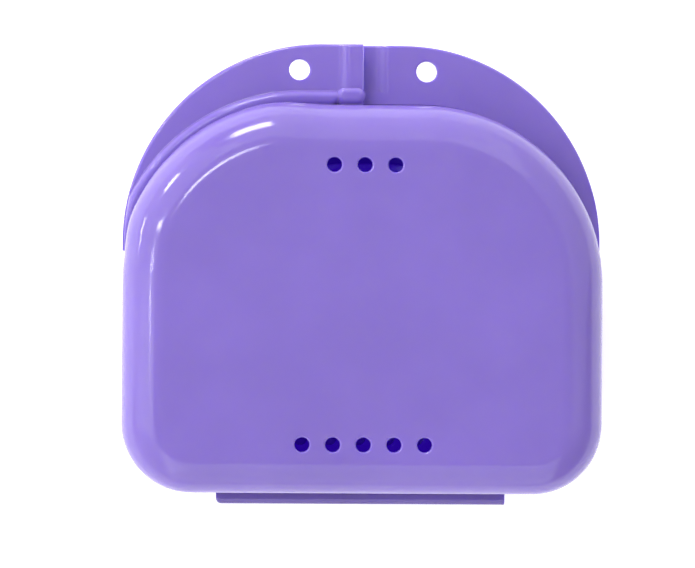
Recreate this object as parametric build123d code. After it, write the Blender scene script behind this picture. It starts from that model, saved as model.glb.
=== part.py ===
from build123d import *
import os

# A mouthguard case with its mouthguard. The case is one polypropylene moulding: two identical
# halves, each a D-shaped pan, joined along the straight side by a living hinge. Turning one half
# half a turn about the Y axis at mid-height gives the other, so each half carries a pull tab and
# an outer lip on one side, and a tongue on the other side that nests in its twin's lip.
# +Z is up, +Y points from the hinge to the pull tabs, and the origin is at the middle of the
# bottom of the bounding box.

# ---- driving dimensions, millimetres ----
case_width = 80.0
pan_length = 65.1
case_height = 26.0
wall = 1.6
shoulder_radius = 30.0
heel_radius = 12.0
floor_edge_radius = 7.0
parting_gap = 0.2

tab_reach = 10.1
tab_corner_radius = 33.2
tab_thickness = 1.6
tab_end_width = 0.45
strip_width = 3.2
strip_offset = 0.9
lanyard_bore = 3.5
lanyard_spread = 21.4
lanyard_inset = 4.35

lip_width = 2.2
lip_roof = 1.2
tongue_height = 2.0
tongue_clearance = 0.3
tongue_start = 43.5

catch_width = 3.2
catch_proud = 0.45
catch_radius = 0.5
catch_offset = 2.1
boss_width = 4.9
boss_depth = 2.7
boss_roof = 1.5
pocket_depth = 0.35

vent_diameter = 2.4
vent_pitch = 5.0
front_vents = 3
back_vents = 5
front_vent_inset = 10.7
back_vent_inset = 8.7

hinge_width = 48.3
hinge_ledge = 0.8
hinge_film = 0.4
hinge_bend = 0.8

guard_width = 64.0
guard_length = 50.0
guard_height = 17.8
guard_lingual_height = 11.5
guard_leg_width = 14.0
guard_front_width = 12.0
guard_skin = 1.8
guard_floor = 2.0
liner_thickness = 1.2
guard_to_front = 5.5

# ---- planes and stations that follow from the sizes ----
hinge_protrusion = hinge_ledge + hinge_bend + hinge_film / 2
overall_length = hinge_protrusion + pan_length + tab_reach
back_y = -overall_length / 2 + hinge_protrusion
front_y = back_y + pan_length
tab_front_y = front_y + tab_reach
half_width = case_width / 2
mid_z = case_height / 2
rim_z = mid_z - parting_gap / 2
tab_bottom_z = rim_z - tab_thickness
channel_z = rim_z - tongue_height - tongue_clearance


def pan_outline(inset):
    """The D-shaped plan of a half, moved inwards by inset."""
    plan = Pos(0, (back_y + front_y) / 2) * Rectangle(case_width, pan_length)
    plan = fillet(plan.vertices().filter_by(lambda v: v.Y > 0), shoulder_radius)
    plan = fillet(plan.vertices().filter_by(lambda v: v.Y < back_y + 1), heel_radius)
    return offset(plan, -inset) if inset else plan


def prism(plan, low, high):
    """A plan extruded from one height to another."""
    return extrude(Pos(0, 0, low) * plan, high - low)


def side_box(side, start_y, end_y, low, high):
    """Everything on one side (-1 or 1) of the mid plane between two stations and two heights."""
    box = Box(case_width, end_y - start_y, high - low, align=(Align.CENTER, Align.MIN, Align.MIN))
    return Pos(side * half_width, start_y, low) * box


def rim_band(outer_inset, side, start_y, low, high):
    """A band along the wall, from an inset of its outer face to its inner face, on one side only."""
    ring = pan_outline(outer_inset) - pan_outline(wall)
    return prism(ring, low, high) & side_box(side, start_y, tab_front_y, low, high)


def vent_row(count, y):
    """A row of round vents through the floor."""
    hole = Cylinder(vent_diameter / 2, 3 * wall)
    return [Pos((i - (count - 1) / 2) * vent_pitch, y, wall / 2) * hole for i in range(count)]


def pan():
    """The floor and wall, with the rounded edge between them and the rim at the parting plane."""
    body = prism(pan_outline(0), 0, rim_z)
    body = fillet(body.faces().sort_by(Axis.Z)[0].edges(), floor_edge_radius)
    hollow = prism(pan_outline(wall), wall, mid_z + wall)
    hollow = fillet(hollow.faces().sort_by(Axis.Z)[0].edges(), floor_edge_radius - wall)
    return body - hollow


def tongue():
    """The wall carried on above the rim on the side without a tab, with its catch nose."""
    upstand = rim_band(0, -1, back_y + tongue_start, rim_z, rim_z + tongue_height)
    upstand -= Pos(0, front_y, rim_z) * Box(2 * tongue_clearance, pan_length, case_height)
    nose = Rot(0, 90, 0) * Cylinder(catch_radius, catch_width)
    nose_y = front_y + catch_proud - catch_radius
    return upstand + Pos(-catch_offset, nose_y, rim_z + tongue_height / 2) * nose


def tongue_channel():
    """The room on the tab's side for the other half's tongue, open at the parting plane."""
    start_y = back_y + tongue_start - tongue_clearance
    return rim_band(-tongue_clearance, 1, start_y, channel_z, mid_z)


def catch_boss():
    """The pill-shaped boss on the lip that backs the pocket of the other half's catch."""
    pill = Pos(catch_offset, front_y + boss_depth / 2) * SlotOverall(boss_width, boss_depth)
    body = prism(pill, channel_z - boss_roof, rim_z)
    return fillet(body.faces().sort_by(Axis.Z)[0].edges(), boss_depth / 5)


def catch_pocket():
    """The pocket in the lip, open towards the pan, where the other half's catch nose rests."""
    height = 2 * catch_radius + 2 * tongue_clearance
    box = Box(catch_width + 2 * tongue_clearance, 2 * pocket_depth, height)
    return Pos(catch_offset, front_y + tongue_clearance, rim_z - tongue_height / 2) * box


def hinge_ledge_strip():
    """The narrow ledge behind the back wall that the hinge film grows from."""
    low = mid_z - hinge_bend - hinge_film / 2
    ledge = Box(hinge_width, hinge_ledge, hinge_film, align=(Align.CENTER, Align.MAX, Align.MIN))
    return Pos(0, back_y, low) * ledge


def half_shell():
    """The lower half's pan with its tongue, catch nose, vents and hinge ledge."""
    shell = pan() + tongue() - tongue_channel()
    shell -= vent_row(front_vents, front_y - front_vent_inset)
    shell -= vent_row(back_vents, back_y + back_vent_inset)
    return shell + hinge_ledge_strip()


def tab_outline():
    """The plan outline of a pull tab's outer edge, before the pan is taken from it."""
    length = tab_front_y - back_y
    plan = Pos(0, back_y + length / 2) * Rectangle(case_width, length)
    return fillet(plan.vertices().filter_by(lambda v: v.Y > 0), tab_corner_radius)


def crescent():
    """The plan of a pull tab: the area between its outer edge and the pan, on the +X side."""
    reach = shoulder_radius - tab_end_width
    end_y = front_y - shoulder_radius + (shoulder_radius**2 - reach**2) ** 0.5
    keep = Pos(half_width / 2, (end_y + tab_front_y) / 2) * Rectangle(half_width, tab_front_y - end_y)
    return (tab_outline() & keep) - pan_outline(0)


def lip():
    """The raised ridge beside the wall that roofs the channel for the other half's tongue."""
    band = crescent() & pan_outline(-lip_width)
    return prism(band, channel_z - lip_roof, rim_z)


def pull_tab():
    """The lower half's crescent tab with its bore, stepped end strip, lip and catch boss."""
    plan = crescent()
    strip_area = Pos(strip_width / 2, front_y + tab_reach / 2) * Rectangle(strip_width, 3 * tab_reach)
    plate = prism(plan - strip_area, tab_bottom_z, rim_z)
    strip = prism(plan & strip_area, tab_bottom_z - strip_offset, rim_z - strip_offset)
    drill = Cylinder(lanyard_bore / 2, case_height)
    bore = Pos(lanyard_spread / 2, tab_front_y - lanyard_inset, mid_z) * drill
    return plate + strip + lip() + catch_boss() - tongue_channel() - catch_pocket() - bore


def living_hinge():
    """The film bent round from one ledge to the other, half a turn about its own axis."""
    bend_y = back_y - hinge_ledge
    outer = Cylinder(hinge_bend + hinge_film / 2, hinge_width, rotation=(0, 90, 0))
    inner = Cylinder(hinge_bend - hinge_film / 2, 2 * hinge_width, rotation=(0, 90, 0))
    reach = 4 * hinge_bend
    behind = Box(hinge_width, reach, reach, align=(Align.CENTER, Align.MAX, Align.CENTER))
    return Pos(0, bend_y, mid_z) * ((outer - inner) & behind)


def arch(radius, arch_y, end_y):
    """The plan of a round arch with two straight legs that run back to end_y."""
    legs = Pos(0, (end_y + arch_y) / 2) * Rectangle(2 * radius, arch_y - end_y)
    front = Circle(radius) & Pos(0, radius / 2) * Rectangle(2 * radius, radius)
    return legs + Pos(0, arch_y) * front


def trough_plan(inset):
    """The horseshoe plan of the guard, moved in from every edge by inset."""
    outer_radius = guard_width / 2
    inner_radius = outer_radius - guard_leg_width
    inner_arch_y = guard_front_y - guard_front_width - inner_radius
    outer = arch(outer_radius - inset, guard_front_y - outer_radius, guard_back_y + inset)
    inner = arch(inner_radius + inset, inner_arch_y, guard_back_y)
    return outer - inner


def tongue_side(low, high):
    """The block over the middle of the guard down to where its inner wall is cut lower."""
    radius = guard_width / 2 - guard_leg_width / 2
    return prism(arch(radius, guard_front_y - guard_front_width / 2 - radius, guard_back_y), low, high)


def guard_frame():
    """The firm outer layer: bite floor, tall lip-side wall and low tongue-side wall."""
    top = guard_base_z + guard_height
    block = prism(trough_plan(0), guard_base_z, top)
    trough = prism(trough_plan(guard_skin), guard_base_z + guard_floor, top)
    return block - trough - tongue_side(guard_base_z + guard_lingual_height, top)


def guard_liner():
    """The soft inner layer that takes the teeth, lying against the frame's trough."""
    top = guard_base_z + guard_height
    low = guard_base_z + guard_floor
    block = prism(trough_plan(guard_skin), low, top)
    trough = prism(trough_plan(guard_skin + liner_thickness), low + liner_thickness, top)
    return block - trough - tongue_side(guard_base_z + guard_lingual_height, top)


guard_front_y = front_y - wall - guard_to_front
guard_back_y = guard_front_y - guard_length
guard_base_z = wall

over_the_top = Pos(0, 0, case_height) * Rot(0, 180, 0)
lower_shell = half_shell()
lower_tab = pull_tab()
parts = {
    "lower_shell": lower_shell,
    "lower_tab": lower_tab,
    "upper_shell": over_the_top * lower_shell,
    "upper_tab": over_the_top * lower_tab,
    "living_hinge": living_hinge(),
    "guard_frame": guard_frame(),
    "guard_liner": guard_liner(),
}

os.makedirs("parts", exist_ok=True)
for name, shape in parts.items():
    export_step(shape, f"parts/{name}.step")
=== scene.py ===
import math

import bmesh
import bpy
import numpy as np
from bpy.props import FloatProperty, FloatVectorProperty, IntProperty, PointerProperty
from mathutils import Matrix, Vector


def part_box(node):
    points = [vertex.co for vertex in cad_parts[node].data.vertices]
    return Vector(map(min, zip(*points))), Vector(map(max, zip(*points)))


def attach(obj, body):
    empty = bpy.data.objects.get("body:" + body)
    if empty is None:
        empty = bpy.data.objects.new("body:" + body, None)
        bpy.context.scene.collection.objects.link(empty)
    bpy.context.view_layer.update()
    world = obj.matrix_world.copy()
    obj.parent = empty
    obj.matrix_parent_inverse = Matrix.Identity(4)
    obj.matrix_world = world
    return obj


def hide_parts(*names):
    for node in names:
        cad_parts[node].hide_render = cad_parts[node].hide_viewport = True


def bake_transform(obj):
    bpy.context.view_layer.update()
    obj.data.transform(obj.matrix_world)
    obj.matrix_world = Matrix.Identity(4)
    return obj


bl_info = {
    "name": "Mouthguard case",
    "version": (1, 0, 0),
    "blender": (4, 5, 0),
    "location": "3D View > Sidebar > Mouthguard Case",
    "description": "Builds the moulded case, its living hinge and its mouthguard",
    "category": "Object",
}

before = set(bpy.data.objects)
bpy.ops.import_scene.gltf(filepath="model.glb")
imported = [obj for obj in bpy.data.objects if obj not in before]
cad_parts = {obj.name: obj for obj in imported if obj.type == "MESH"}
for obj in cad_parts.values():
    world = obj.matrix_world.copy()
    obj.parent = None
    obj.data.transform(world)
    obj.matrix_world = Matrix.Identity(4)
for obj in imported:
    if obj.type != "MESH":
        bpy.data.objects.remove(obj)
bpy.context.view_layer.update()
MM = 0.001


# ---------------------------------------------------------------- sizes and colours

def length(name, description, millimetres):
    """A length property whose default is given in millimetres."""
    return FloatProperty(
        name=name, description=description, default=millimetres * MM, min=0.0, precision=5, unit="LENGTH"
    )


def place(name, description, millimetres):
    """A coordinate whose default is given in millimetres."""
    return FloatProperty(
        name=name, description=description, default=millimetres * MM, precision=5, unit="LENGTH"
    )


def angle(name, description, degrees):
    """An angle property whose default is given in degrees."""
    return FloatProperty(
        name=name, description=description, default=math.radians(degrees), subtype="ANGLE"
    )


def share(name, description, value):
    """A plain number that can't fall below nothing."""
    return FloatProperty(name=name, description=description, default=value, min=0.0)


def colour(name, description, red, green, blue):
    """A linear colour property."""
    return FloatVectorProperty(
        name=name, description=description, default=(red, green, blue), min=0.0, max=1.0, subtype="COLOR"
    )


class CaseSizes(bpy.types.PropertyGroup):
    wall: length("Wall", "Thickness of the pans' floor and wall", 1.6)
    edge_front: length("Front edge", "Radius between the floor and the wall at the front", 7.6)
    edge_side: length("Side edge", "Radius between the floor and the wall at the sides", 7.0)
    edge_back: length("Back edge", "Radius between the floor and the wall beside the hinge", 5.4)
    draft_front: length("Front draft", "How far the front wall leans in from rim to floor", 0.9)
    draft_side: length("Side draft", "How far the side walls lean in from rim to floor", 0.5)
    draft_back: length("Back draft", "How far the wall beside the hinge leans in from rim to floor", 0.8)
    flare: length("Flare", "How far the wall swells round the shoulder over the raised lip", 0.75)
    shoulder: length("Shoulder", "Plan radius of the two front corners", 30.0)
    heel: length("Heel", "Plan radius of the two corners beside the hinge", 12.0)
    floor_dish: length("Floor dish", "How far the flat floor has sunk in as it cooled", 0.10)
    edge_round: length("Edge rounding", "Radius on the rims' edges", 0.25)
    tongue_height: length("Tongue height", "How far the tongue stands above the rim", 2.0)
    tongue_gap: length("Tongue clearance", "Gap between the tongue and the lip around it", 0.3)
    tongue_start: length("Tongue start", "Distance from the back wall to the tongue's end", 43.5)
    catch_proud: length("Catch proud", "How far the catch nose stands out of the tongue", 0.45)
    catch_radius: length("Catch radius", "Radius of the catch nose", 0.5)
    catch_width: length("Catch width", "Width of the catch nose", 3.2)
    catch_offset: length("Catch offset", "Distance of the catch from the middle", 2.1)
    boss_width: length("Boss width", "Length of the pill-shaped catch boss", 4.9)
    boss_depth: length("Boss depth", "How far the catch boss stands out from the wall", 2.7)
    lip_width: length("Lip width", "Width of the raised lip beside the wall", 2.2)
    lip_roof: length("Lip roof", "Thickness of the lip over the tongue", 1.2)
    lip_dip: length("Lip dip", "How far the lip falls away beside the wall", 0.46)
    pit_depth: length("Pit depth", "Depth of the pit between the lip, the boss and the wall", 1.2)
    lip_gap: length("Lip gap", "Gap seen between the lip and the tongue", 0.14)
    tab_thickness: length("Tab thickness", "Thickness of the pull tabs", 1.6)
    tab_corner: length("Tab corner", "Plan radius of the tabs' outer edge", 33.2)
    tab_end_width: length("Tab end width", "Width of the tab where it runs out along the side", 0.45)
    strip_width: length("Strip width", "Width of the raised strip at the tab's free end", 3.2)
    strip_offset: length("Strip offset", "Height of the raised strip", 0.45)
    strip_slope: length("Strip slope", "Width of the slope beside the raised strip", 2.4)
    bore: length("Lanyard bore", "Diameter of the lanyard holes", 3.5)
    bore_spread: length("Lanyard spread", "Distance between the two lanyard holes", 21.4)
    bore_inset: length("Lanyard inset", "Distance of the lanyard holes from the tab's front edge", 4.35)
    vent: length("Vent", "Diameter of the vents", 2.4)
    vent_round: length("Vent rounding", "Radius of the vents' edges", 0.30)
    vent_pitch: length("Vent pitch", "Distance between neighbouring vents", 5.0)
    vent_cell: length("Vent cell", "Width of the band of floor around a row of vents", 3.2)
    front_vent: length("Front vents", "Distance of the front row of vents from the front wall", 10.7)
    back_vent: length("Back vents", "Distance of the back row of vents from the back wall", 8.7)
    hinge_ledge: length("Hinge ledge", "Length of the ledge that the hinge film grows from", 0.8)
    hinge_film: length("Hinge film", "Thickness of the hinge film", 0.4)
    hinge_corner: length("Hinge corner", "Plan radius of the rounded end of the hinge", 0.9)
    steps: IntProperty(name="Steps", description="Divisions of one cell of the floor", default=12, min=4)
    violet: colour("Violet", "Colour of the moulded case", 0.236, 0.165, 0.545)
    # Painted shade: a darker violet for the hinge film round its fold, where the lid's wall shades it.
    fold_shade: colour("Flexed", "Deeper violet of the thin film where it's bent", 0.11, 0.072, 0.27)


class GuardSizes(bpy.types.PropertyGroup):
    front_width: length("Front width", "Thickness of the guard from lip to tongue at the front", 11.5)
    molar_width: length("Molar width", "Thickness of the guard from cheek to tongue at the molars", 14.0)
    skin: length("Skin", "Thickness of the firm outer layer", 1.8)
    floor: length("Bite floor", "Thickness of the outer layer under the teeth", 2.0)
    liner: length("Liner", "Thickness of the soft layer that takes the teeth", 1.2)
    inner_height: length("Inner wall", "Height of the wall on the tongue's side", 11.5)
    molar_height: length("Molar height", "Height of the cheek-side wall at the back", 13.5)
    notch_depth: length("Notch depth", "Depth of the notch for the lip's frenum", 4.5)
    notch_width: length("Notch width", "Half width of the notch for the lip's frenum", 4.5)
    groove_depth: length("Groove depth", "Depth of the grooves on the outer wall", 0.5)
    indigo: colour("Outer layer", "Colour of the firm outer layer", 0.035, 0.014, 0.30)
    milky: colour("Liner", "Colour of the soft liner", 0.54, 0.52, 0.74)


SKY_COLOUR = (0.95, 0.96, 1.0, 1.0)

# Each lamp: name, degrees to the left of +Y, degrees off the vertical, width, height, watts.
LAMPS = (
    ("left softbox", 66.0, 59.0, 0.9, 0.95, 2.5),
    ("front softbox", -8.0, 60.0, 0.8, 0.9, 2.1),
    ("right softbox", 300.0, 58.0, 0.9, 0.9, 1.6),
    ("back softbox", 180.0, 53.0, 0.9, 1.08, 4.0),
    ("heel softbox", 123.0, 58.0, 0.9, 0.95, 2.1),
    ("top softbox", 40.0, 14.0, 1.2, 1.2, 0.15),
    ("window a", 16.4, 67.0, 0.21, 0.17, 2.3),
    ("window b", 34.5, 18.0, 0.15, 0.07, 0.55),
    ("window c", 51.0, 69.0, 0.095, 0.09, 0.7),
    ("window d", 69.0, 36.5, 0.06, 0.13, 0.5),
    ("window e", 75.5, 82.0, 0.19, 0.04, 0.5),
    ("window f", 83.6, 40.0, 0.008, 0.11, 0.09),
    ("window g", 90.4, 41.0, 0.010, 0.05, 0.06),
)


class StageSizes(bpy.types.PropertyGroup):
    lamp_distance: length("Lamp distance", "Distance of the lamps from the case", 800.0)
    distance: length("Camera distance", "Distance of the camera above the case", 450.0)
    yaw: angle("Camera yaw", "How far the camera stands to the left", 1.72)
    pitch: angle("Camera pitch", "How far the camera stands to the back", 0.73)
    roll: angle("Camera roll", "The camera's turn about its own axis", 0.41)
    aim_x: place("Aim across", "Where the camera looks", -2.378)
    aim_y: place("Aim along", "Where the camera looks", -1.627)
    seen: length("Seen width", "Width that the camera takes in at the middle of the case", 116.56)
    floor_colour: colour("Floor", "Colour of the floor", 0.92, 0.92, 0.92)
    floor_glow: share("Floor glow", "Light of the light table around the case", 0.45)
    sky: share("Sky", "Light from all round", 0.22)


# ---------------------------------------------------------------- shader maths

class Value:
    """A socket that takes part in Python arithmetic by adding Math nodes."""

    def __init__(self, tree, socket):
        self.tree = tree
        self.socket = socket

    def math(self, operation, *others):
        inputs = dict(enumerate((self, *others)))
        return self.tree.node("ShaderNodeMath", {"operation": operation}, inputs)

    def __add__(self, other):
        return self.math("ADD", other)

    __radd__ = __add__

    def __mul__(self, other):
        return self.math("MULTIPLY", other)

    __rmul__ = __mul__

    def __sub__(self, other):
        return self.math("SUBTRACT", other)

    def __rsub__(self, other):
        return (self * -1.0).math("ADD", other)


class Finish:
    """One material's node tree, with a single method that adds any node."""

    def __init__(self, name):
        self.material = bpy.data.materials.new(name)
        self.material.use_nodes = True
        self.nodes = self.material.node_tree.nodes
        self.links = self.material.node_tree.links
        self.shader = self.nodes["Principled BSDF"]

    def node(self, kind, settings, inputs, output=0):
        """Adds a node, makes its settings, then fills its sockets with numbers or links."""
        made = self.nodes.new(kind)
        for key, setting in settings.items():
            setattr(made, key, setting)
        for key, given in inputs.items():
            self.feed(made.inputs[key], given)
        return Value(self, made.outputs[output])

    def feed(self, socket, given):
        if isinstance(given, Value):
            self.links.new(given.socket, socket)
        else:
            socket.default_value = given

    def set(self, **inputs):
        """Fills the shader's own sockets, named with underscores for spaces."""
        for key, given in inputs.items():
            self.feed(self.shader.inputs[key.replace("_", " ")], given)

    def place(self):
        return self.node("ShaderNodeTexCoord", {}, {}, "Object")

    def axis(self, where, index):
        """One coordinate of a point: 0 across, 1 along, 2 up."""
        return self.node("ShaderNodeSeparateXYZ", {}, {"Vector": where}, index)

    def noise(self, where, scale, detail, roughness):
        inputs = {"Vector": where, "Scale": scale, "Detail": detail, "Roughness": roughness}
        return self.node("ShaderNodeTexNoise", {}, inputs)

    def mixed(self, factor, first, second):
        """Two colours mixed; the colour node's own sockets are 6 and 7, and 2 is its result."""
        inputs = {"Factor": factor, 6: first, 7: second}
        return self.node("ShaderNodeMix", {"data_type": "RGBA"}, inputs, 2)

    def banded(self, value, low, high):
        """0 below low, 1 above high, smooth between."""
        return self.node(
            "ShaderNodeMapRange",
            {"interpolation_type": "SMOOTHSTEP"},
            {"Value": value, "From Min": low, "From Max": high, "To Min": 0.0, "To Max": 1.0},
        )

    def bumped(self, height, distance):
        """The normal of a surface that rises by height times distance, at half strength."""
        inputs = {"Height": height, "Distance": distance, "Strength": 0.5}
        return self.node("ShaderNodeBump", {}, inputs)


def shade(rgb, factor):
    """A linear colour made lighter or darker, with alpha."""
    return (*(min(channel * factor, 1.0) for channel in rgb), 1.0)


UNLIT = (0.0, 0.0, 0.0, 1.0)
# Painted glow: emission on the faces inside the case that stands in for light soaking through its thin
# walls, mostly blue.
THROUGH_WALL_GLOW = (0.012, 0.0004, 0.14, 1.0)
# The same painted glow, as emission on the guard, standing in for that light where it soaks on into the
# guard.
SOAKED_GLOW = (0.007, 0.0002, 0.08, 1.0)
# How much of the painted shade colour shows at the hinge's fold, where the film is bent most.
MOST_FOLD_SHADE = 0.9


def moulded_plastic(name, violet, fold_shade=None, fold_z=0.0, fold_reach=1.0):
    """Glossy polypropylene: soft flow marks in the colour, a fine orange-peel skin and faint scuffs.

    A faint painted glow, emission that stands in for light soaking through the walls, fills the
    faces that are marked as inside. With a fold shade colour, the plastic darkens towards it
    within fold_reach of the height fold_z, as painted shade round the hinge's fold.
    """
    finish = Finish(name)
    where = finish.place()
    flow = finish.noise(where, scale=38.0, detail=3.0, roughness=0.55)
    body = finish.mixed(finish.banded(flow, 0.35, 0.70), shade(violet, 0.97), shade(violet, 1.04))
    # Painted shade: the colour darkens towards the fold shade colour round the fold.
    if fold_shade is not None:
        off_fold = (finish.axis(where, 2) - fold_z).math("ABSOLUTE")
        bent = 1 - finish.banded(off_fold, 0.15 * fold_reach, fold_reach)
        body = finish.mixed(bent * MOST_FOLD_SHADE, body, shade(fold_shade, 1.0))
    slanted = {"Vector": where, "Rotation": (0.0, 0.0, 0.7), "Scale": (1.0, 14.0, 1.0)}
    scuffs = finish.node("ShaderNodeMapping", {}, slanted)
    streaks = finish.noise(scuffs, scale=420.0, detail=4.0, roughness=0.6)
    scratches = finish.banded(streaks, 0.66, 0.74)
    cloudy = finish.noise(where, scale=160.0, detail=3.0, roughness=0.6)
    peel = finish.noise(where, scale=900.0, detail=2.0, roughness=0.5)
    waves = finish.noise(where, scale=120.0, detail=1.0, roughness=0.4)
    inside = finish.node("ShaderNodeAttribute", {"attribute_name": "inside"}, {}, "Fac")
    finish.set(
        # Painted glow on the faces marked as inside, standing in for light that soaks through the walls.
        Emission_Color=finish.mixed(inside, UNLIT, THROUGH_WALL_GLOW),
        Emission_Strength=1.0,
        Base_Color=body,
        Roughness=0.08 + 0.06 * cloudy + 0.05 * scratches,
        Normal=finish.bumped(peel * 0.12 + waves, 0.000020),
        IOR=1.49,
        Subsurface_Weight=0.8,
        Subsurface_Radius=(0.35, 0.25, 1.0),
        Subsurface_Scale=0.0012,
    )
    return finish.material


def firm_elastomer(name, indigo):
    """Satin indigo elastomer with a fine moulded grain and a roughness that varies in soft clouds."""
    finish = Finish(name)
    where = finish.place()
    cloud = finish.noise(where, scale=90.0, detail=4.0, roughness=0.6)
    grain = finish.noise(where, scale=2600.0, detail=3.0, roughness=0.6)
    finish.set(
        Base_Color=finish.mixed(cloud, shade(indigo, 0.8), shade(indigo, 1.3)),
        Roughness=0.40 + 0.14 * cloud,
        Normal=finish.bumped(grain, 0.00006),
        IOR=1.50,
        # Painted glow standing in for light that soaks through the case into the guard.
        Emission_Color=SOAKED_GLOW,
        Emission_Strength=1.0,
    )
    return finish.material


def soft_gel(name, milky):
    """Milky, slightly see-through gel with small flow clouds and a soft sheen."""
    finish = Finish(name)
    where = finish.place()
    cloud = finish.noise(where, scale=140.0, detail=3.0, roughness=0.5)
    ripple = finish.noise(where, scale=330.0, detail=2.0, roughness=0.5)
    finish.set(
        Base_Color=finish.mixed(cloud, shade(milky, 0.93), shade(milky, 1.06)),
        Roughness=0.30 + 0.12 * cloud,
        Normal=finish.bumped(ripple, 0.00012),
        IOR=1.45,
        # Painted glow standing in for light that soaks through the case into the guard.
        Emission_Color=SOAKED_GLOW,
        Emission_Strength=1.0,
        Subsurface_Weight=0.7,
        Subsurface_Radius=(1.0, 1.0, 1.0),
        Subsurface_Scale=0.003,
    )
    return finish.material


# ---------------------------------------------------------------- surfaces

def pairs(first, second):
    """Two arrays or numbers side by side as an array of points."""
    return np.stack(np.broadcast_arrays(first, second), -1)


def polylines(*corners):
    """One polyline for each station, from (out, height) pairs of arrays or numbers."""
    values = np.broadcast_arrays(*(value for corner in corners for value in corner))
    return np.stack([pairs(*values[k:k + 2]) for k in range(0, len(values), 2)], axis=1)


def unit(vectors):
    """Each vector divided by its length, and a zero vector left alone."""
    size = np.linalg.norm(vectors, axis=-1, keepdims=True)
    return vectors / np.where(size > 1e-12, size, 1.0)


def rounded(corners, reaches, counts):
    """Rounds the corners of a family of polylines, corners[station, corner, 2].

    Each corner with a count above one becomes the conic from reach before it to reach after it,
    weighted by the sine of half the corner's angle, which makes it a circle's arc. One more point
    on each leg, a fifth of the reach further out, keeps the flats flat.
    """
    total = corners.shape[1]
    rows = []
    for k in range(total):
        here = corners[:, k]
        if counts[k] < 2:
            rows.append(here[:, None])
            continue
        before = unit(corners[:, k - 1] - here)
        after = unit(corners[:, (k + 1) % total] - here)
        half_angle = 0.5 * np.arccos(np.clip((before * after).sum(-1), -1.0, 1.0))
        weight = np.sin(half_angle)[:, None, None]
        reach = np.broadcast_to(reaches[k], here.shape[:1])[:, None]
        start = here + before * reach
        end = here + after * reach
        t = np.linspace(0.0, 1.0, counts[k])[None, :, None]
        first = (1 - t) ** 2
        second = 2 * weight * t * (1 - t)
        third = t**2
        arc = first * start[:, None] + second * here[:, None] + third * end[:, None]
        rows.append((here + before * reach * 1.2)[:, None])
        rows.append(arc / (first + second + third))
        rows.append((here + after * reach * 1.2)[:, None])
    return np.concatenate(rows, axis=1)


def grid_faces(rows, columns, closed, first):
    """Quads of a grid whose points are numbered row by row. closed joins the last column on."""
    i = np.arange(rows - 1)[:, None]
    j = np.arange(columns if closed else columns - 1)[None, :]
    a = i * columns + j
    b = i * columns + (j + 1) % columns
    c = b + columns
    d = a + columns
    return first + np.stack([a + 0 * b, b, c, d], axis=-1).reshape(-1, 4)


# Edges that bend by more than this are shaded sharp, and points nearer than WELD become one.
SHARP_EDGE = math.radians(38)
WELD = 2e-7


class Skin:
    """Collects patches of points and faces, welds them and makes one finished mesh object."""

    def __init__(self):
        self.points = []
        self.inside = []
        self.faces = []
        self.count = 0

    def grid(self, points, closed=False, inside=0.0):
        """Adds a grid of points. inside, 0 to 1, marks what faces the hollow of the case, where the
        painted glow shows.
        """
        rows, columns = points.shape[:2]
        self.inside.append(np.broadcast_to(inside, (rows, columns)).ravel())
        self.faces.extend(grid_faces(rows, columns, closed, self.count).tolist())
        self.points.append(points.reshape(-1, 3))
        self.count += rows * columns

    def cap(self, ring):
        self.faces.append(list(range(self.count, self.count + len(ring))))
        self.points.append(ring)
        self.inside.append(np.zeros(len(ring)))
        self.count += len(ring)

    def tube(self, points):
        """A loft of closed rings with a cap on each end."""
        self.grid(points, closed=True)
        self.cap(points[0][::-1])
        self.cap(points[-1])

    def piece(self, name, material, turned=False):
        """The welded object. turned moves it from the lower half to the upper half."""
        points = np.concatenate(self.points)
        if turned:
            points = turned_over(points)
        mesh = bpy.data.meshes.new(name)
        mesh.from_pydata(points, [], self.faces)
        mark = mesh.attributes.new("inside", "FLOAT", "POINT")
        mark.data.foreach_set("value", np.concatenate(self.inside).astype(np.float32))
        work = bmesh.new()
        work.from_mesh(mesh)
        bmesh.ops.remove_doubles(work, verts=work.verts, dist=WELD)
        bmesh.ops.dissolve_degenerate(work, edges=work.edges, dist=WELD / 2)
        bmesh.ops.recalc_face_normals(work, faces=work.faces)
        work.to_mesh(mesh)
        work.free()
        mesh.shade_smooth()
        mesh.set_sharp_from_angle(angle=SHARP_EDGE)
        mesh.materials.append(material)
        made = bpy.data.objects.new(name, mesh)
        bpy.context.scene.collection.objects.link(made)
        return made


def smooth(value):
    """The smooth step of a value clipped to 0 and 1: 3 t squared less 2 t cubed."""
    t = np.clip(value, 0.0, 1.0)
    return t * t * (3 - 2 * t)


# ---------------------------------------------------------------- the case's plan

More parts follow.
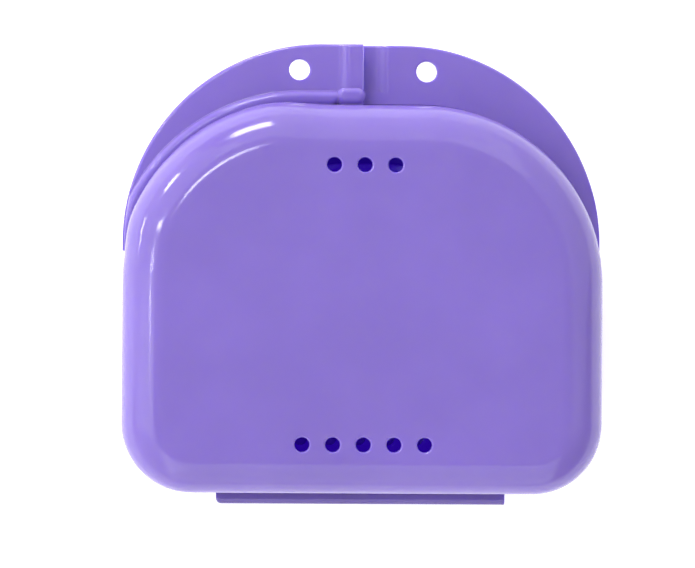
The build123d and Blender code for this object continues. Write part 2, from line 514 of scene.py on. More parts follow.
class Plan:
    """The stations of the case that all its pieces share, from the frame and the sizes."""

    def __init__(self, sizes):
        low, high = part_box("lower_shell")
        self.sizes = sizes
        self.half_width = high.x
        self.back = low.y + sizes.hinge_ledge
        self.front = high.y - sizes.catch_proud
        self.rim = high.z - sizes.tongue_height
        self.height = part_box("upper_shell")[1].z
        self.middle = self.height / 2
        self.tab_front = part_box("lower_tab")[1].y
        self.tab_bottom = self.rim - sizes.tab_thickness
        self.channel = self.rim - sizes.tongue_height - sizes.tongue_gap
        self.front_run = self.half_width - sizes.shoulder
        self.shoulder_end = self.front_run + sizes.shoulder * math.pi / 2
        self.side_run = self.front - sizes.shoulder - self.back - sizes.heel
        self.side_end = self.shoulder_end + self.side_run
        self.heel_end = self.side_end + sizes.heel * math.pi / 2
        self.half_length = self.heel_end + self.half_width - sizes.heel
        drop = self.front - self.back - sizes.tongue_start
        self.tongue_end = self.front_run + sizes.shoulder * math.acos(1 - drop / sizes.shoulder)

    def outline(self, run):
        """Points and outward normals at a run along the wall from the middle of the front.

        The front is straight, then the shoulder's arc, the straight side, the heel's arc and the
        straight back follow; a negative run mirrors them.
        """
        sizes = self.sizes
        side = np.where(run < 0, -1.0, 1.0)
        run = np.abs(run)
        shoulder = np.clip((run - self.front_run) / sizes.shoulder, 0, math.pi / 2)
        heel = np.clip((run - self.side_end) / sizes.heel, 0, math.pi / 2)
        x = np.minimum(run, self.front_run) + sizes.shoulder * np.sin(shoulder)
        x = x - sizes.heel * (1 - np.cos(heel)) - np.maximum(run - self.heel_end, 0)
        y = self.front - sizes.shoulder * (1 - np.cos(shoulder))
        y = y - np.clip(run - self.shoulder_end, 0, self.side_run) - sizes.heel * np.sin(heel)
        turn = shoulder + heel
        return pairs(side * x, y), pairs(side * np.sin(turn), np.cos(turn))

    def section(self, run, profile):
        """Carries a profile of (distance out of the wall, height) points along the outline."""
        base, normal = self.outline(run)
        plan = base[:, None] + normal[:, None] * profile[..., :1]
        return np.concatenate([plan, profile[..., 1:]], axis=-1)

    def tab_reach(self, run):
        """Distance from the wall to the tab's outer edge, along the wall's normal.

        The edge is a straight front, an arc round (centre_x, centre_y) and the case's side.
        """
        base, normal = self.outline(run)
        corner = self.sizes.tab_corner
        centre = np.array([self.half_width - corner, self.tab_front - corner])
        offset = base - centre
        along = (offset * normal).sum(-1)
        reach = -along + np.sqrt(along**2 - (offset**2).sum(-1) + corner**2)
        ahead = (self.tab_front - base[:, 1]) / np.maximum(normal[:, 1], 1e-6)
        beside = (self.half_width - base[:, 0]) / np.maximum(normal[:, 0], 1e-6)
        hit = base + normal * reach[:, None]
        reach = np.where(hit[:, 0] < centre[0], ahead, reach)
        return np.where(hit[:, 1] < centre[1], beside, reach)

    def eased(self, run, front, side, back):
        """A length eased from the front's to the side's and the back's as the wall turns."""
        _, normal = self.outline(run)
        turn = np.arctan2(np.abs(normal[:, 0]), normal[:, 1]) / (math.pi / 2)
        return front + (side - front) * smooth(turn) + (back - side) * smooth(turn - 1)

    def floor_edge(self, run):
        """Radius of the floor's outer edge."""
        return self.eased(run, self.sizes.edge_front, self.sizes.edge_side, self.sizes.edge_back)

    def draft(self, run):
        """How far the wall leans in between the rim and the floor."""
        return self.eased(run, self.sizes.draft_front, self.sizes.draft_side, self.sizes.draft_back)

    def flare(self, run):
        """How far the wall swells over the raised lip round the shoulder on the tab's side."""
        grown = smooth((run - 5 * MM) / (13 * MM))
        faded = smooth((run - 45 * MM) / (9 * MM))
        return self.sizes.flare * grown * (1 - faded)

    def dish(self, x, y):
        """The shallow sink of the flat floor, a product of squared parabolas, zero at its edge."""
        across = 1 - (x / (self.half_width - self.sizes.edge_front)) ** 2
        centre = (self.front + self.back) / 2
        reach = (self.front - self.back) / 2 - self.sizes.edge_front
        along = 1 - ((y - centre) / reach) ** 2
        return self.sizes.floor_dish * np.clip(across, 0, 1) ** 2 * np.clip(along, 0, 1) ** 2


def turned_over(points):
    """Points of the lower half as they lie on the upper half, half a turn about the Y axis."""
    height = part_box("upper_shell")[1].z
    return points * (-1, 1, -1) + (0, 0, height)


def vent_centres(plan):
    """The vents of one half: three in the front row and five in the back row."""
    sizes = plan.sizes
    rows = ((3, plan.front - sizes.front_vent), (5, plan.back + sizes.back_vent))
    return [((i - (count - 1) / 2) * sizes.vent_pitch, y) for count, y in rows for i in range(count)]


CELLS_ACROSS = 5
CELLS_ALONG = 7


def floor_lines(plan):
    """The grid lines of the middle of the floor. The first and last row of cells hold the vents."""
    sizes = plan.sizes
    steps = sizes.steps
    half_across = CELLS_ACROSS / 2
    across = np.linspace(-half_across, half_across, CELLS_ACROSS * steps + 1) * sizes.vent_pitch
    half = sizes.vent_cell / 2
    front = plan.front - sizes.front_vent
    back = plan.back + sizes.back_vent
    between = np.linspace(back + half, front - half, CELLS_ALONG - 1)
    stops = np.concatenate([[back - half], between, [front + half]])
    at = np.arange(CELLS_ALONG * steps + 1) / steps
    along = np.interp(at, np.arange(CELLS_ALONG + 1), stops)
    return across, along


def cell_ring(xs, ys):
    """The points round a cell's edge, from its first corner along each side in turn."""
    return np.concatenate([
        pairs(xs[:-1], ys[0]),
        pairs(xs[-1], ys[:-1]),
        pairs(xs[:0:-1], ys[-1]),
        pairs(xs[0], ys[:0:-1]),
    ])


def floor_cells(skin, plan, level, inside):
    """The middle of a floor surface, with each vent's cell drawn in from its square to its circle."""
    sizes = plan.sizes
    steps = sizes.steps
    across, along = floor_lines(plan)
    vents = vent_centres(plan)
    for i in range(CELLS_ACROSS):
        for j in range(CELLS_ALONG):
            xs = across[i * steps:(i + 1) * steps + 1]
            ys = along[j * steps:(j + 1) * steps + 1]
            middle = np.array([xs.mean(), ys.mean()])
            x, y = np.meshgrid(xs, ys, indexing="ij")
            if min(np.hypot(middle[0] - vx, middle[1] - vy) for vx, vy in vents) > 1e-6:
                skin.grid(np.stack([x, y, level + plan.dish(x, y)], -1), inside=inside)
                continue
            ring = cell_ring(xs, ys)
            angle = np.arctan2(ring[:, 1] - middle[1], ring[:, 0] - middle[0])
            spoke = pairs(np.cos(angle), np.sin(angle))
            circle = middle + spoke * (sizes.vent / 2 + sizes.vent_round)
            t = np.array([0.0, 0.3, 0.6, 0.85, 1.0])[:, None, None]
            rings = ring * (1 - t) + circle * t
            z = level + plan.dish(rings[..., 0], rings[..., 1])
            skin.grid(np.concatenate([rings, z[..., None]], -1), closed=True, inside=inside)


def vent_walls(skin, plan):
    """The vents' own walls, a rounded edge at each end, revolved with the floor cells' angles."""
    sizes = plan.sizes
    steps = sizes.steps
    radius = sizes.vent / 2
    bend = sizes.vent_round
    turn = np.linspace(0, math.pi / 2, 6)
    out = radius + bend * (1 - np.sin(turn))
    down = bend * (1 - np.cos(turn))
    through = np.concatenate([down, sizes.wall - down[::-1]])
    profile = pairs(np.concatenate([out, out[::-1]]), through)
    xs = np.linspace(-0.5, 0.5, steps + 1) * sizes.vent_pitch
    ys = np.linspace(-0.5, 0.5, steps + 1) * sizes.vent_cell
    ring = cell_ring(xs, ys)
    angle = np.arctan2(ring[:, 1], ring[:, 0])
    depth = profile[:, 1:] / sizes.wall
    for x, y in vent_centres(plan):
        px = x + profile[:, :1] * np.cos(angle)
        py = y + profile[:, :1] * np.sin(angle)
        pz = profile[:, 1:] + plan.dish(px, py)
        skin.grid(np.stack([px, py, pz], -1), closed=True, inside=depth)


# How far round the shoulder and the heel the floor's corners are tied, in radians of their arcs.
SHOULDER_TIE = 0.15
HEEL_TIE = 0.3


def wall_runs(plan):
    """The edge of the floor's middle and the runs along the wall that its points are tied to.

    The middle's corners are tied to the shoulders and heels where no tie crosses the middle, and
    stations close together mark the ends of the tongue and of the lip's channel.
    """
    sizes = plan.sizes
    across, along = floor_lines(plan)
    half = len(across) // 2
    edge = np.concatenate([
        pairs(across[half:-1], along[-1]),
        pairs(across[-1], along[:0:-1]),
        pairs(across[:half:-1], along[0]),
    ])
    knots = [0, half, half + len(along) - 1, 2 * half + len(along) - 1]
    shoulder = plan.front_run + SHOULDER_TIE * sizes.shoulder
    heel = plan.heel_end - HEEL_TIE * sizes.heel
    runs = np.interp(np.arange(len(edge)), knots, [0, shoulder, heel, plan.half_length])
    gap = sizes.tongue_gap
    near = int(np.searchsorted(runs, plan.tongue_end))
    runs[near - 1:near + 3] = plan.tongue_end + np.array([0.1, 0.5, 1.0, 1.4]) * gap
    seam = np.array([[0.0, along[0]]])
    edge_all = np.concatenate([seam, edge[:0:-1] * (-1, 1), edge, seam])
    runs_all = np.concatenate([[-plan.half_length], -runs[:0:-1], runs, [plan.half_length]])
    middle = len(runs)
    runs_all[middle - 2:middle + 3] = np.array([-1.4, -1.0, -0.1, 0.1, 0.5]) * gap
    return edge_all, runs_all


def rim_heights(plan, runs):
    """Height of the wall's top along the wall: raised as the tongue, or cut down for the channel."""
    sizes = plan.sizes
    gap = sizes.tongue_gap
    tongue = (runs < -0.9 * gap) & (runs > -plan.tongue_end - 0.3 * gap)
    channel = (runs > 0) & (runs < plan.tongue_end + 0.8 * gap)
    return np.where(tongue, plan.rim + sizes.tongue_height, np.where(channel, plan.channel, plan.rim))


# Share of the rim's height where the wall swells most, and the points of the section up to the rim.
WAIST = 0.72
LAST_OUTER_POINT = 34
# How far inside the floor's rounded edge the flat floor starts, and its first step outwards.
LOOP_GAP = 0.1 * MM
LOOP_STEP = 0.03 * MM
# Radius of an edge that lies hidden against another piece.
NEARLY_SHARP = 0.02 * MM


def shell_skin(plan):
    """One pan as a closed surface.

    The section goes from the floor outside, round the floor's edge, up the wall, which leans in
    by its draft and swells by its flare at the waist, over the rim, down inside and round to the
    floor inside. It is carried along the plan's outline, and the two middle floor areas with
    their vents close it. The floor's dish fades out towards the loop where it meets the edge.
    """
    sizes = plan.sizes
    skin = Skin()
    edge, runs = wall_runs(plan)
    top = rim_heights(plan, runs)
    wall = sizes.wall
    bend = plan.floor_edge(runs)
    draft = plan.draft(runs)
    flare = plan.flare(runs)
    loop_at = -bend - draft - LOOP_GAP
    waist = WAIST * plan.rim

    def lean_at(height):
        return draft * np.minimum(height / plan.rim - 1, 0)

    corners = polylines(
        (loop_at, 0),
        (flare - draft, 0),
        (flare + lean_at(waist), waist),
        (lean_at(top), top),
        (-wall, top),
        (lean_at(wall) - wall, wall),
        (loop_at, wall),
    )
    outer_round = np.where(top < plan.rim, NEARLY_SHARP, sizes.edge_round)
    reaches = [0, bend, 0, outer_round, sizes.edge_round, bend - 0.8 * wall, 0]
    profile = rounded(corners, reaches, [1, 20, 1, 5, 5, 16, 1])
    profile[:, [1, -2], 0] = (loop_at + LOOP_STEP)[:, None]
    past_rim = np.arange(profile.shape[1]) > LAST_OUTER_POINT
    skin.grid(plan.section(runs, profile), inside=past_rim.astype(float))
    loop = plan.section(runs, profile[:, :1])[:, 0, :2]
    t = np.linspace(0, 1, 9)[:, None, None]
    ring = loop * (1 - t) + edge * t
    for level, inside in ((0.0, 0.0), (wall, 1.0)):
        z = level + plan.dish(ring[..., 0], ring[..., 1]) * smooth(4 * t[..., 0])
        skin.grid(np.concatenate([ring, z[..., None]], -1), inside=inside)
        floor_cells(skin, plan, level, inside)
    vent_walls(skin, plan)
    return skin


def catch_nose(skin, plan):
    """The round-ended bar on the tongue's outer face that clicks into the other half's lip."""
    sizes = plan.sizes
    turn = np.linspace(0, 2 * math.pi, 25)[:-1]
    t = np.linspace(-1, 1, 17)
    radius = sizes.catch_radius * np.sqrt(np.clip(1 - np.abs(t) ** 8, 0.0, 1.0)) + 0.02 * MM
    x = -sizes.catch_offset + t[:, None] * sizes.catch_width / 2 + 0 * turn
    y = plan.front + sizes.catch_proud - sizes.catch_radius + radius[:, None] * np.cos(turn)
    z = plan.rim + sizes.tongue_height / 2 + radius[:, None] * np.sin(turn)
    skin.tube(np.stack([x, y, z], -1))


# Points over the lip, the pit's half width, and how far the tab's root runs into the shell's wall.
RIDGE_POINTS = 17
PIT_WIDTH = 0.5 * MM
TAB_BURY = 0.45 * MM


def tab_skin(plan):
    """One pull tab with its lip as a closed loft along the wall.

    The section goes over the lip, half an ellipse, along the tab's outer face, round its edge,
    back along the face that meets the other half and up into the channel for the tongue. Near the
    free end the tab steps outwards as the raised strip, and towards the side it narrows with the
    tab's own edge.
    """
    sizes = plan.sizes
    end = plan.front_run + sizes.shoulder * math.acos(1 - sizes.tab_end_width / sizes.shoulder)
    end = 2 * plan.front_run + sizes.shoulder * math.pi / 2 - end
    runs = np.concatenate([
        np.linspace(0.06 * MM, 5.0 * MM, 41)[:-1],
        np.linspace(5.0 * MM, 16.0 * MM, 23)[:-1],
        np.linspace(16.0 * MM, end, 90),
    ])
    width = plan.tab_reach(runs)
    past_strip = (runs - sizes.strip_width + sizes.strip_slope / 2) / sizes.strip_slope
    jog = sizes.strip_offset * (1 - smooth(past_strip))
    lip = np.minimum(sizes.lip_width, width - 0.25 * MM)
    fade = smooth((width - 0.3 * MM) / (2.2 * MM))
    lip_height = plan.tab_bottom - plan.channel + sizes.lip_roof
    crest = plan.tab_bottom - lip_height * fade - 0.05 * MM * (1 - fade)
    channel = runs < plan.tongue_end + sizes.tongue_gap
    channel_out = np.where(channel, sizes.lip_gap, -0.1 * MM)
    channel_top = np.where(channel, plan.channel, plan.rim - 0.01 * MM)
    plate = plan.tab_bottom - jog
    rise = plate - crest
    around = np.linspace(0.0, math.pi, RIDGE_POINTS)
    swell = np.sin(around)
    lip_out = lip[:, None] / 2 * (1 - np.cos(around))
    lip_out[:, 0] = -TAB_BURY
    pit_at = sizes.catch_offset + 0.48 * sizes.boss_width
    pit = np.exp(-(((runs - pit_at) / PIT_WIDTH) ** 2))
    dip = sizes.lip_dip * fade + sizes.pit_depth * pit
    fall = np.where(around < math.pi / 2, dip[:, None], 0.87 * rise[:, None])
    ridge = pairs(lip_out, crest[:, None] + fall * (1 - swell))
    rest = polylines(
        (lip, plate),
        (width, plate),
        (width, plan.rim - jog),
        (lip + 0.01 * MM, plan.rim - jog),
        (lip, plan.rim),
        (channel_out, plan.rim),
        (channel_out, channel_top),
        (-TAB_BURY, channel_top - 0.01 * MM),
    )
    flat = np.maximum(width - lip, 0.1 * MM)
    reaches = [
        np.minimum(0.10 * rise, 0.35 * flat),
        np.minimum(0.55 * MM, 0.45 * flat),
        np.minimum(0.35 * MM, 0.3 * flat),
        0, 0, 0.10 * MM, 0.08 * MM, 0,
    ]
    reaches = [0] * RIDGE_POINTS + reaches
    counts = [1] * RIDGE_POINTS + [6, 8, 6, 1, 1, 4, 3, 1]
    profile = rounded(np.concatenate([ridge, rest], axis=1), reaches, counts)
    skin = Skin()
    skin.tube(plan.section(runs, profile))
    return skin


def boss_skin(plan):
    """The pill-shaped catch boss: a stadium whose rings shrink as they rise over a rounded edge."""
    sizes = plan.sizes
    radius = sizes.boss_depth / 2
    straight = sizes.boss_width / 2 - radius
    turn = np.linspace(0, 2 * math.pi, 65)[:-1]
    low = plan.rim - 0.3 * MM
    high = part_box("lower_tab")[0].z
    bend = 0.72 * radius
    arc = np.linspace(0, math.pi / 2, 12)
    inset = np.concatenate([[0], bend * (1 - np.cos(arc)), [bend + 0.2 * radius]])
    z = np.concatenate([[low], high + bend * (1 - np.sin(arc)), [high]])
    shrink = (radius - inset)[:, None]
    x = sizes.catch_offset + np.sign(np.cos(turn)) * straight + shrink * np.cos(turn)
    y = plan.front + radius + shrink * np.sin(turn) - 0.04 * MM
    skin = Skin()
    skin.tube(np.stack([x, y, z[:, None] + 0 * x], -1))
    return skin


def drilled(tab, plan, turned):
    """Cuts the lanyard hole with a bobbin: the bore, with a small chamfer at each face."""
    sizes = plan.sizes
    radius = sizes.bore / 2
    chamfer = 0.18 * MM
    middle = (plan.rim + plan.tab_bottom) / 2
    half = sizes.tab_thickness / 2
    up = np.array([half - chamfer, half + chamfer, 3 * half])
    z = middle + np.concatenate([-up[::-1], up])
    wide = radius + 2 * chamfer
    r = np.array([wide, wide, radius, radius, wide, wide])
    turn = np.linspace(0, 2 * math.pi, 73)[:-1]
    x = sizes.bore_spread / 2 + r[:, None] * np.cos(turn)
    y = plan.tab_front - sizes.bore_inset + r[:, None] * np.sin(turn)
    skin = Skin()
    skin.tube(np.stack([x, y, z[:, None] + 0 * x], -1))
    bobbin = skin.piece("bobbin", tab.data.materials[0], turned)
    cut = tab.modifiers.new("bore", "BOOLEAN")
    cut.operation = "DIFFERENCE"
    cut.solver = "EXACT"
    cut.object = bobbin
    settle(tab)
    tab.data.set_sharp_from_angle(angle=math.radians(30))
    bpy.data.objects.remove(bobbin)


def settle(piece):
    """Applies a piece's modifiers to its mesh."""
    bpy.context.view_layer.update()
    graph = bpy.context.evaluated_depsgraph_get()
    finished = bpy.data.meshes.new_from_object(piece.evaluated_get(graph))
    finished.name = piece.data.name
    piece.modifiers.clear()
    piece.data = finished


def build_half(context, half, turned):
    """Makes one half's shell, pull tab and catch boss, and puts them on their body."""
    sizes = context.scene.case_sizes
    plan = Plan(sizes)
    name = "violet polypropylene"
    plastic = bpy.data.materials.get(name) or moulded_plastic(name, sizes.violet)
    skin = shell_skin(plan)
    catch_nose(skin, plan)
    shell = skin.piece(f"{half}_case_shell", plastic, turned)
    tab = tab_skin(plan).piece(f"{half}_pull_tab", plastic, turned)
    drilled(tab, plan, turned)
    boss = boss_skin(plan).piece(f"{half}_catch_boss", plastic, turned)
    for piece in (shell, tab, boss):
        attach(piece, f"{half}_half")
    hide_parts(f"{half}_shell")
    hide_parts(f"{half}_tab")


# How far the hinge's ledges run into the shells' walls.
LEDGE_BURY = 0.3 * MM


def build_hinge(context):
    """The living hinge: a ledge on each half and the thin film bent round between them.

    The section is two half circles joined by the ledges' faces, carried along the hinge and drawn
    in by a quarter circle at each end.
    """
    sizes = context.scene.case_sizes
    plan = Plan(sizes)
    low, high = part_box("living_hinge")
    film = sizes.hinge_film
    bend = (high.z - low.z) / 2
    bend_y = high.y
    turn = np.linspace(0, math.pi, 33)

    def fold(radius):
        return pairs(bend_y - radius * np.sin(turn), plan.middle - radius * np.cos(turn))

    ledge = np.linspace(plan.back + LEDGE_BURY, bend_y, 6)[:-1]
    section = np.concatenate([
        pairs(ledge, plan.middle - bend),
        fold(bend),
        pairs(ledge[::-1], plan.middle + bend),
        pairs(ledge, plan.middle + bend - film),
        fold(bend - film)[::-1],
        pairs(ledge[::-1], plan.middle - bend + film),
    ])
    end_round = 0.12 * MM
    span = high.x - low.x
    near_end = np.linspace(0, 1, 12) ** 2 * 0.03
    t = np.concatenate([near_end, np.linspace(0.03, 0.97, 60)[1:-1], 1 - near_end[::-1]])
    x = low.x + t * span
    corner = np.clip((low.x + sizes.hinge_corner - x) / sizes.hinge_corner, 0, 1)
    other = np.clip((x - high.x + end_round) / end_round, 0, 1)
    shrink = sizes.hinge_corner * (1 - np.sqrt(1 - corner**2)) + end_round * (1 - np.sqrt(1 - other**2))
    depth = np.clip((plan.back - section[:, 0]) / (plan.back - low.y), 0, 1)
    y = section[None, :, 0] + shrink[:, None] * depth
    points = np.stack([x[:, None] + 0 * y, y, section[None, :, 1] + 0 * y], -1)
    skin = Skin()
    skin.tube(points)
    reach = 1.6 * bend
    # Painted shade: the film's violet darkens round its fold towards the fold shade colour.
    plastic = moulded_plastic("flexed polypropylene", sizes.violet, sizes.fold_shade, plan.middle, reach)
    piece = skin.piece("living_hinge_film", plastic)
    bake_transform(piece)
    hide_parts("living_hinge")


# ---------------------------------------------------------------- the mouthguard

# Share of the way back where the legs start to round off, for the firm layer and for the liner.
TIP_START = 0.945
LINER_TIP_START = 0.92
# The liner stops short of the firm layer's tips at this share of the arch.
LINER_SHARE = 0.965
# How much lower the inner wall is at the tips.
INNER_DROP = 1.5 * MM


class Arch:
    """The dental arch that the guard's sections are carried along, a superellipse in plan."""

    def __init__(self, sizes):
        low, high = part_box("guard_frame")
        self.sizes = sizes
        self.low = low
        self.high = high
        self.power = 2.35
        self.reach_x = high.x - sizes.molar_width / 2
        self.reach_y = high.y - low.y - sizes.front_width / 2

    def along(self, t):
        """Plan points, outward normals and the share of the way back, for t from -1 to 1.

        x = a sin^(2/p), y = b cos^(2/p) of an angle, evened out by interpolating along its length.
        """
        angle = np.linspace(-math.pi / 2, math.pi / 2, 2001)
        x = self.reach_x * np.sign(angle) * np.abs(np.sin(angle)) ** (2 / self.power)
        y = self.low.y + self.reach_y * np.abs(np.cos(angle)) ** (2 / self.power)
        run = np.concatenate([[0], np.cumsum(np.hypot(np.diff(x), np.diff(y)))])
        run = 2 * run / run[-1] - 1
        px = np.interp(t, run, x)
        py = np.interp(t, run, y)
        step = 0.01
        dx = np.interp(t + step, run, x) - np.interp(t - step, run, x)
        dy = np.interp(t + step, run, y) - np.interp(t - step, run, y)
        normal = unit(np.stack([-dy, dx], -1))
        return np.stack([px, py], -1), normal, np.abs(t)

    def heights(self, t):
        """Height of the outer wall and of the inner wall along the arch.

        The outer wall is tallest over the canines, falls towards the molars and has a notch at
        the middle; the inner wall is level and falls at the ends. The third result is 1 along the
        arch and falls as a quarter ellipse to 0 at its tips.
        """
        sizes = self.sizes
        full = self.high.z - self.low.z
        back = np.abs(t)
        outer = full - (full - sizes.molar_height) * smooth((back - 0.35) / 0.6)
        middle = self.along(t)[0]
        outer = outer - sizes.notch_depth * np.exp(-((middle[:, 0] / sizes.notch_width) ** 2) * 1.6)
        inner = sizes.inner_height - INNER_DROP * smooth((back - 0.5) / 0.5)
        end = tip_round(back, TIP_START, 1 - TIP_START)
        return outer * (0.35 + 0.65 * end), inner * (0.45 + 0.55 * end), end

    def width(self, t):
        sizes = self.sizes
        grown = smooth(np.abs(t) / 0.55)
        return sizes.front_width + (sizes.molar_width - sizes.front_width) * grown


def tip_round(back, start, reach):
    """1 up to start, then a quarter ellipse that falls to 0 one reach further back."""
    return np.sqrt(np.clip(1 - (np.maximum(back - start, 0) / reach) ** 2, 0, 1))


def guard_stations():
    """Stations along the arch, closer together near the ends."""
    even = np.linspace(-1, 1, 221)
    return np.sin(even * math.pi / 2 * 0.995) / math.sin(math.pi / 2 * 0.995) * 0.35 + even * 0.65


def guard_frame_skin(arch):
    """The firm layer: an open trough with a tall outer wall, grooved outside, and a low inner wall."""
    sizes = arch.sizes
    t = guard_stations()
    outer_height, inner_height, end = arch.heights(t)
    half = arch.width(t) / 2 * (0.38 + 0.62 * end)
    skin_width = sizes.skin * (0.4 + 0.6 * end)
    lean = 1.0 * MM
    foot = 0.8 * MM
    corners = polylines(
        (half - 0.6 * MM, 0),
        (half - 0.1 * lean, 0.75 * outer_height),
        (half - lean, outer_height),
        (half - lean - skin_width, outer_height),
        (half - skin_width - foot, sizes.floor),
        (-half + skin_width + foot, sizes.floor),
        (-half + skin_width, inner_height),
        (-half, inner_height),
        (-half + 0.9 * MM, 0),
    )
    full = 0.3 + 0.7 * end
    corner_reach = 1.4 * MM * (0.2 + 0.8 * end)
    reaches = [
        3.6 * MM * full, 3.0 * MM * end + 0.2 * MM, 0.75 * MM * full, 0.6 * MM * full,
        corner_reach, corner_reach, 0.6 * MM * full, 0.75 * MM * full, 2.6 * MM * full,
    ]
    profile = rounded(corners, reaches, [12, 14, 6, 6, 7, 7, 6, 6, 10])
    return arch_tube(arch, t, profile, grooved=True)


# The grooves' heights at the front, their rise towards the back, half width and last station.
GROOVE_HEIGHTS = (4.6 * MM, 8.4 * MM)
GROOVE_RISE = 1.2 * MM
GROOVE_WIDTH = 0.55 * MM
GROOVE_END = 0.86


def arch_tube(arch, t, profile, grooved=False):
    """Carries a closed profile of (outwards, height) points along the arch and closes its ends.

    Each groove is a Gaussian dip of the outer face that rises a little towards the back.
    """
    sizes = arch.sizes
    base, normal, back = arch.along(t)
    out = profile[..., 0]
    height = profile[..., 1]
    if grooved:
        face = smooth((out - 0.55 * out.max(axis=1, keepdims=True)) / (0.2 * out.max()))
        fade = smooth((GROOVE_END - back) / 0.08)[:, None]
        for centre in GROOVE_HEIGHTS:
            above = height - centre - GROOVE_RISE * back[:, None] ** 2
            line = np.exp(-((above / GROOVE_WIDTH) ** 2))
            out = out - sizes.groove_depth * line * face * fade
    plan = base[:, None] + normal[:, None] * out[..., None]
    points = np.concatenate([plan, (arch.low.z + height)[..., None]], -1)
    points[..., 1] = np.maximum(points[..., 1], arch.low.y)
    skin = Skin()
    skin.tube(points)
    return skin


# How far the liner sinks into the firm layer it is bonded to, and the fins on its floor.
SUNK = 0.08 * MM
FIN_COUNT = 34
FIN_HEIGHT = 0.35 * MM


def liner_skin(arch):
    """The soft layer: a thinner trough inside the first, with low fins that grip the teeth."""
    sizes = arch.sizes
    t = guard_stations() * LINER_SHARE
    outer_height, inner_height, _ = arch.heights(t)
    end = tip_round(np.abs(t), LINER_TIP_START, LINER_SHARE - LINER_TIP_START + 0.001)
    half = arch.width(t) / 2
    gap = sizes.skin - SUNK
    thick = sizes.liner
    floor = sizes.floor - SUNK
    drop = 0.7 * MM
    rise = 0.45 + 0.55 * end
    wave = 0.5 + 0.5 * np.cos(t * math.pi * FIN_COUNT)
    fins = FIN_HEIGHT * wave * smooth((0.84 - np.abs(t)) / 0.06)
    outer_top = (outer_height - drop) * rise
    inner_top = (inner_height - drop) * rise
    corners = polylines(
        (half - gap - 0.8 * MM, floor),
        (half - gap - 1.0 * MM, outer_top),
        (half - gap - 1.0 * MM - thick, outer_top),
        (half - gap - 0.9 * MM - thick, floor + thick + fins),
        (-half + gap + 0.9 * MM + thick, floor + thick + fins),
        (-half + gap + thick, inner_top),
        (-half + gap, inner_top),
        (-half + gap + 0.8 * MM, floor),
    )
    reaches = [1.4 * MM, 0.3 * MM, 0.45 * MM, 1.6 * MM, 1.6 * MM, 0.45 * MM, 0.3 * MM, 1.4 * MM]
    profile = rounded(corners, reaches, [7, 4, 6, 9, 9, 6, 4, 7])
    return arch_tube(arch, t, profile)


# ---------------------------------------------------------------- the stage

FLOOR_REACH = 3.0


def build_floor(sizes):
    """A pale sheet that glows around the case and is dark under it.

    The glow is cut off where the fourth powers of the place across and along, as shares of the
    case's half sizes, add up to less than a limit.
    """
    skin = Skin()
    reach = np.linspace(-FLOOR_REACH, FLOOR_REACH, 3)
    x, y = np.meshgrid(reach, reach, indexing="ij")
    skin.grid(np.stack([x, y, 0 * x], -1))
    paper = Finish("pale paper")
    paper.set(Base_Color=(*sizes.floor_colour, 1.0), Roughness=0.9)
    place = paper.place()
    across = paper.axis(place, 0) * (1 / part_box("lower_shell")[1].x)
    along = paper.axis(place, 1) * (1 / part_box("lower_tab")[1].y)
    clear = paper.banded(across.math("POWER", 4.0) + along.math("POWER", 4.0), 0.36, 0.62)
    glow = paper.mixed(clear, UNLIT, (1.0, 1.0, 1.0, 1.0))
    paper.set(Emission_Color=glow, Emission_Strength=sizes.floor_glow)
    floor = skin.piece("floor", paper.material)


def seat(name, data, place, axes):
    """Puts a lamp or the camera in the scene at a place, with its own axes given as vectors."""
    holder = bpy.data.objects.new(name, data)
    holder.location = place
    holder.rotation_euler = Matrix(axes).transposed().to_euler()
    bpy.context.scene.collection.objects.link(holder)
    return holder


def build_camera(sizes, aim):
    """The camera above the case, leaning by its yaw and pitch and turned by its roll."""
    across = math.cos(sizes.pitch)
    eye_way = Vector((
        -math.sin(sizes.yaw) * across,
        -math.sin(sizes.pitch),
        math.cos(sizes.yaw) * across,
    ))
    right = Vector((0, 1, 0)).cross(eye_way).normalized()
    up = eye_way.cross(right)
    turned_right = right * math.cos(sizes.roll) + up * math.sin(sizes.roll)
    turned_up = up * math.cos(sizes.roll) - right * math.sin(sizes.roll)
    camera = bpy.data.cameras.new("camera")
    camera.sensor_width = 36.0
    camera.lens = camera.sensor_width * sizes.distance / sizes.seen
    camera.clip_start = 0.01
    place = aim + eye_way * sizes.distance
    bpy.context.scene.camera = seat("camera", camera, place, (turned_right, turned_up, eye_way))


def build_lamps(sizes, aim):
    """Each softbox and window, at its direction from the aim and facing it."""
    for name, turn, lean, wide, tall, power in LAMPS:
        lamp = bpy.data.lights.new(name, "AREA")
        lamp.shape = "RECTANGLE"
        lamp.size = wide
        lamp.size_y = tall
        lamp.energy = power
        around = math.radians(turn)
        over = math.radians(lean)
        level = math.sin(over)
        way = Vector((-math.sin(around) * level, math.cos(around) * level, math.cos(over)))
        side = Vector((math.cos(around), math.sin(around), 0.0))
        seat(name, lamp, aim + way * sizes.lamp_distance, (side, way.cross(side), way))


def build_sky(sizes):
    """The light from all round."""
    world = bpy.data.worlds.new("studio")
    world.use_nodes = True
    sky = world.node_tree.nodes["Background"].inputs
    sky["Color"].default_value = SKY_COLOUR
    sky["Strength"].default_value = sizes.sky
    bpy.context.scene.world = world


# ---------------------------------------------------------------- operators

class MGC_OT_lower_half(bpy.types.Operator):
    """Make the lower half of the case: shell, pull tab and catch boss"""
    bl_idname = "mgc.lower_half"
    bl_label = "Lower half"

    def execute(self, context):
        build_half(context, "lower", False)
        return {"FINISHED"}


class MGC_OT_upper_half(bpy.types.Operator):
    """Make the upper half of the case, the same moulding turned over"""
    bl_idname = "mgc.upper_half"
    bl_label = "Upper half"

    def execute(self, context):
        build_half(context, "upper", True)
        return {"FINISHED"}


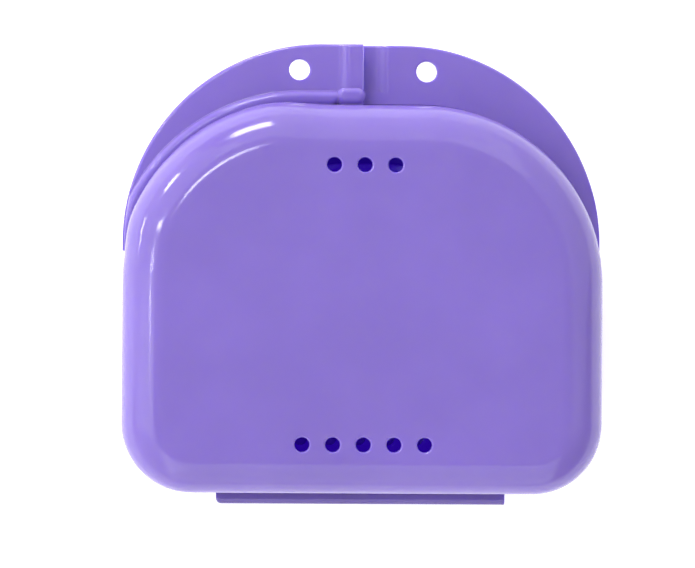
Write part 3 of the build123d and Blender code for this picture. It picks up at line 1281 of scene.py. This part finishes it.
class MGC_OT_hinge(bpy.types.Operator):
    """Make the living hinge between the two halves"""
    bl_idname = "mgc.hinge"
    bl_label = "Living hinge"

    def execute(self, context):
        build_hinge(context)
        return {"FINISHED"}


class MGC_OT_guard(bpy.types.Operator):
    """Make the mouthguard's firm outer layer and soft liner"""
    bl_idname = "mgc.guard"
    bl_label = "Mouthguard"

    def execute(self, context):
        sizes = context.scene.guard_sizes
        arch = Arch(sizes)
        elastomer = firm_elastomer("firm indigo elastomer", sizes.indigo)
        outer = guard_frame_skin(arch).piece("guard_outer_layer", elastomer)
        inner = liner_skin(arch).piece("guard_gel_liner", soft_gel("milky gel", sizes.milky))
        for piece, node in ((outer, "guard_frame"), (inner, "guard_liner")):
            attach(piece, "mouthguard")
            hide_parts(node)
        return {"FINISHED"}


class MGC_OT_stage(bpy.types.Operator):
    """Make the floor, the studio lights and the camera"""
    bl_idname = "mgc.stage"
    bl_label = "Stage"

    def execute(self, context):
        sizes = context.scene.stage_sizes
        aim = Vector((sizes.aim_x, sizes.aim_y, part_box("upper_shell")[1].z / 2))
        build_floor(sizes)
        build_camera(sizes, aim)
        build_lamps(sizes, aim)
        build_sky(sizes)
        context.scene.view_settings.view_transform = "Standard"
        return {"FINISHED"}


class MGC_PT_panel(bpy.types.Panel):
    """Lists the case's sizes and the buttons that make its pieces"""
    bl_idname = "MGC_PT_panel"
    bl_label = "Mouthguard case"
    bl_space_type = "VIEW_3D"
    bl_region_type = "UI"
    bl_category = "Mouthguard Case"

    def draw(self, context):
        layout = self.layout
        for maker in MAKERS:
            layout.operator(maker.bl_idname)
        for key in SIZES:
            sizes = getattr(context.scene, key)
            column = layout.column(align=True)
            for entry in sizes.__annotations__:
                column.prop(sizes, entry)


MAKERS = (MGC_OT_lower_half, MGC_OT_upper_half, MGC_OT_hinge, MGC_OT_guard, MGC_OT_stage)
SIZES = {"case_sizes": CaseSizes, "guard_sizes": GuardSizes, "stage_sizes": StageSizes}
CLASSES = (*SIZES.values(), *MAKERS, MGC_PT_panel)


def register():
    for entry in CLASSES:
        bpy.utils.register_class(entry)
    for key, group in SIZES.items():
        setattr(bpy.types.Scene, key, PointerProperty(type=group))


def unregister():
    for key in SIZES:
        delattr(bpy.types.Scene, key)
    for entry in reversed(CLASSES):
        bpy.utils.unregister_class(entry)


def main():
    register()
    bpy.ops.mgc.lower_half()
    bpy.ops.mgc.upper_half()
    bpy.ops.mgc.hinge()
    bpy.ops.mgc.guard()
    bpy.ops.mgc.stage()


if __name__ == "__main__":
    main()
